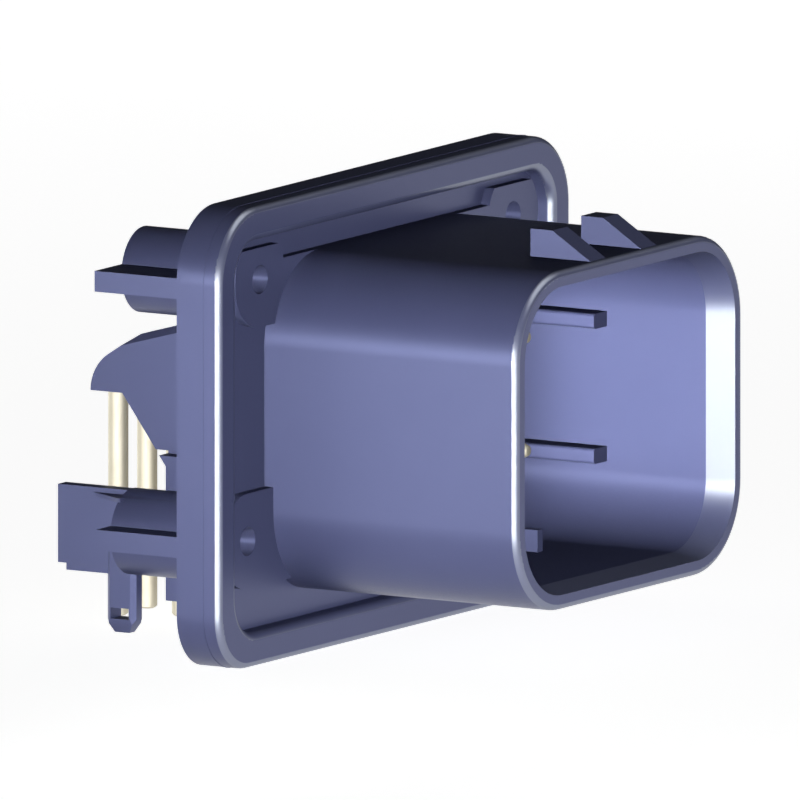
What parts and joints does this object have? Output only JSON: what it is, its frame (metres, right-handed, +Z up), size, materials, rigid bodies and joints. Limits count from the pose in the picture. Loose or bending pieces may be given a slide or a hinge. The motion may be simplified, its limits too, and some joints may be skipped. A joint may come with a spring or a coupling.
{
  "type": "right-angle board header",
  "caption": "Right-angle circuit-board header: rectangular rounded mating shroud on a rimmed screw flange, with bent round contacts, side fins, and board feet with pegs.",
  "frame": {"origin": "centre of the flange's front rim plane, on the axis of the mating shroud", "axes": "+X to the right seen from the mating side, +Y rearward from the mating mouth to the board side, +Z up away from the board"},
  "size_m": [0.0486, 0.0385, 0.0332],
  "materials": {
    "housing_plastic": "moulded, fine satin grain",
    "contact_metal": "tin plated, smooth"
  },
  "bodies": {
    "root": {"housing": "housing_plastic", "contact_top_1": "contact_metal", "contact_top_2": "contact_metal", "contact_top_3": "contact_metal", "contact_top_4": "contact_metal", "contact_top_5": "contact_metal", "contact_middle_1": "contact_metal", "contact_middle_2": "contact_metal", "contact_middle_3": "contact_metal", "contact_middle_4": "contact_metal", "contact_bottom_1": "contact_metal", "contact_bottom_2": "contact_metal", "contact_bottom_3": "contact_metal", "contact_bottom_4": "contact_metal", "contact_bottom_5": "contact_metal"}
  },
  "joints": []
}
